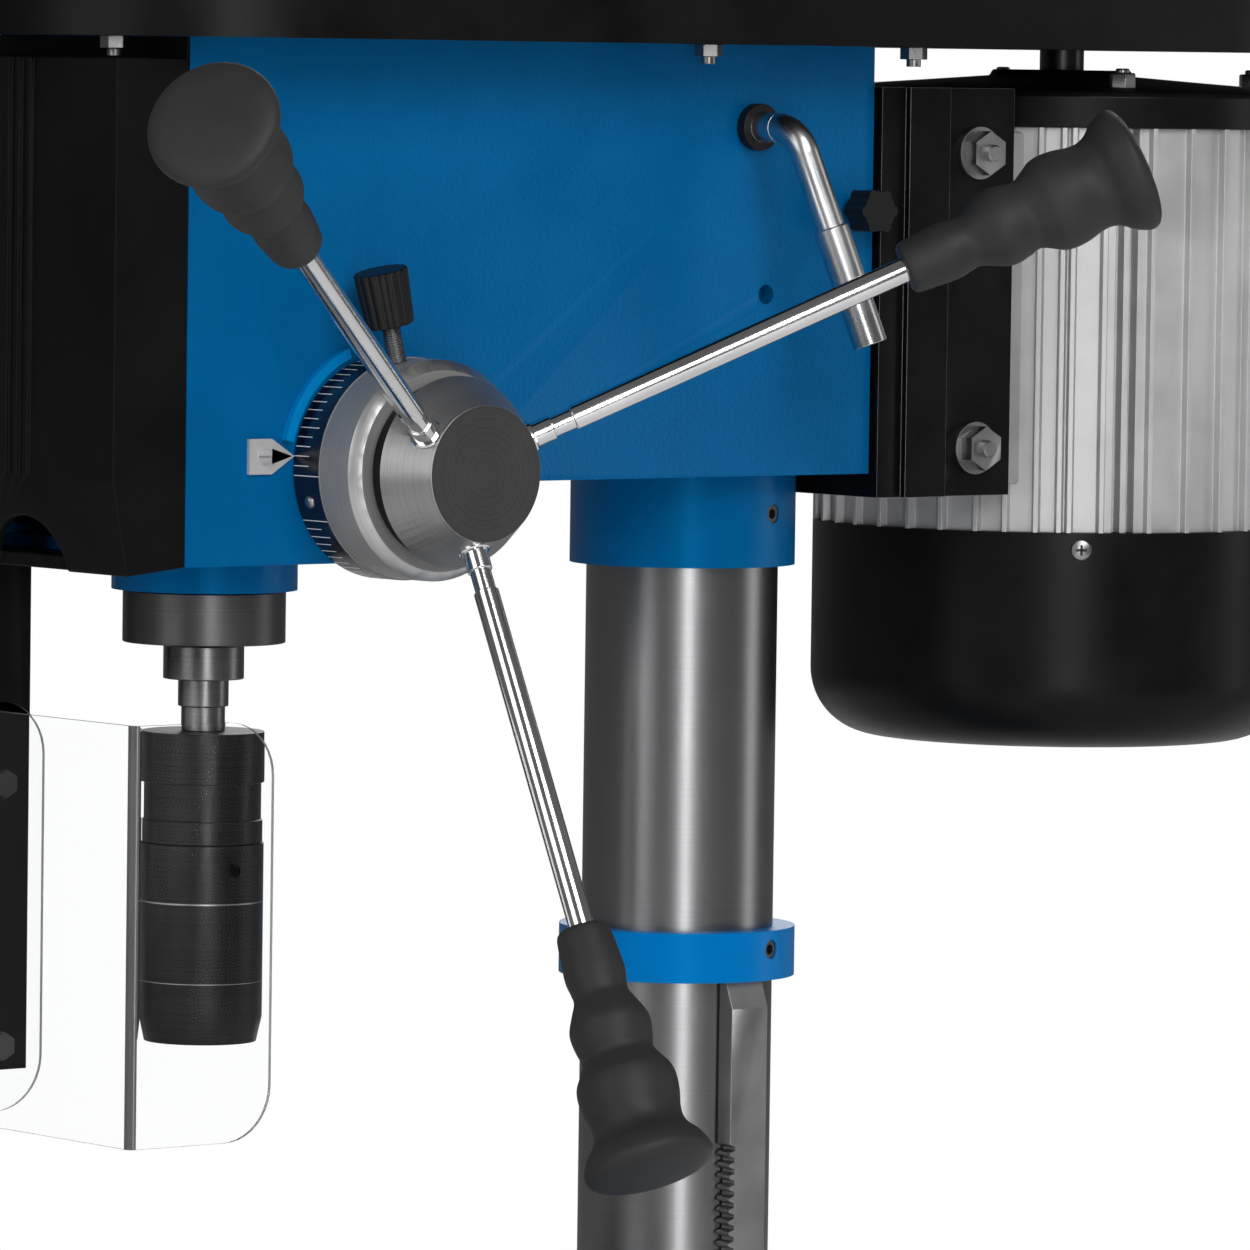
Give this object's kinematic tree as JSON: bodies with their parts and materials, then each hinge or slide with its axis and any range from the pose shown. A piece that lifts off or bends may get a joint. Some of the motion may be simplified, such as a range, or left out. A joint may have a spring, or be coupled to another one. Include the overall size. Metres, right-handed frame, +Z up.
{
  "type": "bench drill press",
  "caption": "Bench drilling machine with a round column, a belt drive under a long cover, a hand feed hub with handles, a keyless chuck, a clear guard and a lifting table.",
  "frame": {"origin": "on the underside of the base, on the column's axis", "axes": "+Z up along the column, -Y towards the spindle and the operator, +X towards the feed handles"},
  "size_m": [0.4243, 0.762, 1.0075],
  "materials": {
    "blue_paint": "glossy",
    "collar_blue": "glossy",
    "black_paint": "matt",
    "black_sheet": "satin",
    "black_plastic": "matt",
    "green_plastic": "glossy",
    "red_plastic": "glossy",
    "ground_steel": "ground",
    "machined_steel": "turned",
    "dark_steel": "blackened",
    "spring_steel": "blued",
    "bright_screw": "zinc plated",
    "chromed_steel": "polished",
    "cast_table": "ground top",
    "fin_aluminium": "cast",
    "pulley_aluminium": "turned",
    "grip_rubber": "matt",
    "belt_rubber": "matt",
    "clear_sheet": "clear",
    "bearing_steel": "ground",
    "pointer_plate": "bright"
  },
  "bodies": {
    "frame": {"base": "blue_paint", "column_foot": "blue_paint", "hex_bolts": "bright_screw", "column": "ground_steel", "rack_collar": "collar_blue", "set_screws": "dark_steel", "head_casting": "blue_paint", "front_cover": "black_paint", "switch_box": "black_plastic", "belt_cover_tray": "black_sheet", "depth_pointer": "pointer_plate", "return_spring_cap": "black_paint", "return_spring": "spring_steel", "head_bearings": "bearing_steel", "idler_arm": "machined_steel", "spindle_belt": "belt_rubber", "motor_belt": "belt_rubber"},
    "rack_body": {"rack": "ground_steel"},
    "bracket_body": {"table_bracket": "blue_paint"},
    "crank_body": {"crank_shaft": "machined_steel", "crank_arm": "black_paint"},
    "crank_grip_body": {"crank_grip": "black_plastic"},
    "table_lock_body": {"table_lock_lever": "chromed_steel"},
    "table_body": {"table": "cast_table", "tilt_bolt": "bright_screw"},
    "quill_body": {"quill": "ground_steel", "quill_bearings": "bearing_steel", "quill_collar": "dark_steel"},
    "feed_body": {"feed_shaft": "machined_steel", "feed_hub": "machined_steel", "feed_rods": "chromed_steel", "feed_grips": "grip_rubber"},
    "depth_ring_body": {"depth_ring": "machined_steel"},
    "depth_lock_body": {"depth_lock_knob": "black_plastic"},
    "motor_body": {"motor_bracket": "black_sheet", "slide_bars": "ground_steel", "motor_bolts": "bright_screw", "motor_housing": "fin_aluminium", "motor_top_cover": "black_sheet", "motor_bell": "black_sheet"},
    "tension_body": {"tension_lever": "chromed_steel"},
    "rotor_body": {"motor_rotor": "machined_steel", "motor_pulley": "pulley_aluminium"},
    "idler_body": {"idler_pulley": "pulley_aluminium"},
    "drive_body": {"drive_sleeve": "machined_steel", "spindle_pulley": "pulley_aluminium"},
    "spindle_body": {"spindle": "machined_steel", "chuck_arbor": "machined_steel", "chuck_body": "dark_steel"},
    "chuck_sleeve_body": {"chuck_sleeve": "dark_steel"},
    "jaw_1_body": {"chuck_jaw_1": "machined_steel"},
    "jaw_2_body": {"chuck_jaw_2": "machined_steel"},
    "jaw_3_body": {"chuck_jaw_3": "machined_steel"},
    "slide_lock_body": {"slide_lock_knob": "black_plastic"},
    "lid_body": {"belt_cover_lid": "black_sheet"},
    "guard_body": {"guard_arm": "black_sheet", "guard_shield": "clear_sheet", "guard_screws": "black_paint"},
    "start_body": {"start_button": "green_plastic"},
    "stop_body": {"stop_button": "red_plastic"}
  },
  "joints": [
    {"name": "table_swing", "type": "hinge", "parent": "frame", "child": "rack_body", "pos_m": [0, 0, 0.3], "axis": [0, 0, 1], "range_deg": [-90, 90]},
    {"name": "table_lift", "type": "slide", "parent": "rack_body", "child": "bracket_body", "axis": [0, 0, 1], "range_m": [-0.12, 0.1]},
    {"name": "lift_crank", "type": "hinge", "parent": "bracket_body", "child": "crank_body", "pos_m": [0.08, -0.0188, 0.285], "axis": [1, 0, 0], "range_deg": [-546.7, 655.8]},
    {"name": "crank_grip_spin", "type": "hinge", "parent": "crank_body", "child": "crank_grip_body", "pos_m": [0.12, -0.0188, 0.21], "axis": [1, 0, 0], "continuous": true},
    {"name": "table_lock", "type": "hinge", "parent": "bracket_body", "child": "table_lock_body", "pos_m": [0.027, 0.074, 0.285], "axis": [1, 0, 0], "range_deg": [-15, 100]},
    {"name": "table_tilt", "type": "hinge", "parent": "bracket_body", "child": "table_body", "pos_m": [0, -0.092, 0.304], "axis": [0, 1, 0], "range_deg": [-45, 45]},
    {"name": "quill_feed", "type": "slide", "parent": "frame", "child": "quill_body", "axis": [0, 0, -1], "range_m": [0, 0.085], "stiffness_N_per_m": 900, "springref_m": -0.15},
    {"name": "feed_turn", "type": "hinge", "parent": "frame", "child": "feed_body", "pos_m": [0.09, -0.207, 0.746], "axis": [1, 0, 0], "range_deg": [-1, 375.6]},
    {"name": "depth_ring_turn", "type": "hinge", "parent": "feed_body", "child": "depth_ring_body", "pos_m": [0.09, -0.207, 0.746], "axis": [1, 0, 0], "continuous": true},
    {"name": "depth_lock", "type": "hinge", "parent": "depth_ring_body", "child": "depth_lock_body", "pos_m": [0.08829, -0.207, 0.746], "axis": [0, -0.2419, 0.9703], "range_deg": [0, 360]},
    {"name": "motor_slide", "type": "slide", "parent": "frame", "child": "motor_body", "axis": [0, 1, 0], "range_m": [0, 0.008], "deforming": ["motor_belt"]},
    {"name": "tension_turn", "type": "hinge", "parent": "frame", "child": "tension_body", "pos_m": [0.07, -0.018, 0.882], "axis": [1, 0, 0], "range_deg": [-0.5, 16]},
    {"name": "motor_spin", "type": "hinge", "parent": "motor_body", "child": "rotor_body", "pos_m": [0, 0.206, 0.9], "axis": [0, 0, 1], "continuous": true},
    {"name": "idler_spin", "type": "hinge", "parent": "frame", "child": "idler_body", "pos_m": [0, -0.03, 0.94], "axis": [0, 0, 1], "continuous": true},
    {"name": "drive_spin", "type": "hinge", "parent": "frame", "child": "drive_body", "pos_m": [0, -0.246, 0.94], "axis": [0, 0, 1], "continuous": true},
    {"name": "spindle_spin", "type": "hinge", "parent": "quill_body", "child": "spindle_body", "pos_m": [0, -0.246, 0.7], "axis": [0, 0, 1], "continuous": true},
    {"name": "chuck_sleeve_turn", "type": "hinge", "parent": "spindle_body", "child": "chuck_sleeve_body", "pos_m": [0, -0.246, 0.55], "axis": [0, 0, 1], "range_deg": [0, 1008]},
    {"name": "jaw_1_slide", "type": "slide", "parent": "spindle_body", "child": "jaw_1_body", "axis": [0.1908, 0, 0.9816], "range_m": [-0.0001, 0.0281]},
    {"name": "jaw_2_slide", "type": "slide", "parent": "spindle_body", "child": "jaw_2_body", "axis": [-0.0954, 0.1652, 0.9816], "range_m": [-0.0001, 0.0281]},
    {"name": "jaw_3_slide", "type": "slide", "parent": "spindle_body", "child": "jaw_3_body", "axis": [-0.0954, -0.1652, 0.9816], "range_m": [-0.0001, 0.0281]},
    {"name": "slide_lock", "type": "hinge", "parent": "frame", "child": "slide_lock_body", "pos_m": [0.08, 0.035, 0.848], "axis": [1, 0, 0], "range_deg": [0, 360]},
    {"name": "lid_hinge", "type": "hinge", "parent": "frame", "child": "lid_body", "pos_m": [-0.1152, 0, 0.9673], "axis": [0, -1, 0], "range_deg": [0, 95]},
    {"name": "guard_hinge", "type": "hinge", "parent": "frame", "child": "guard_body", "pos_m": [-0.07, -0.2955, 0.724], "axis": [-1, 0, 0], "range_deg": [0, 95]},
    {"name": "start_press", "type": "slide", "parent": "frame", "child": "start_body", "axis": [1, 0, 0], "range_m": [0, 0.003], "stiffness_N_per_m": 400, "springref_m": -0.003},
    {"name": "stop_press", "type": "slide", "parent": "frame", "child": "stop_body", "axis": [1, 0, 0], "range_m": [0, 0.003], "stiffness_N_per_m": 400, "springref_m": -0.003}
  ],
  "couplings": [
    {"joint": "lift_crank", "follows": "table_lift", "rad_per_m": -95.238},
    {"joint": "feed_turn", "follows": "quill_feed", "rad_per_m": 76.923},
    {"joint": "tension_turn", "follows": "motor_slide", "rad_per_m": 33.333},
    {"joint": "idler_spin", "follows": "motor_spin", "ratio": 0.69231},
    {"joint": "drive_spin", "follows": "motor_spin", "ratio": 0.38942},
    {"joint": "spindle_spin", "follows": "motor_spin", "ratio": 0.38942},
    {"joint": "jaw_1_slide", "follows": "chuck_sleeve_turn", "m_per_rad": 0.001592},
    {"joint": "jaw_2_slide", "follows": "chuck_sleeve_turn", "m_per_rad": 0.001592},
    {"joint": "jaw_3_slide", "follows": "chuck_sleeve_turn", "m_per_rad": 0.001592}
  ]
}
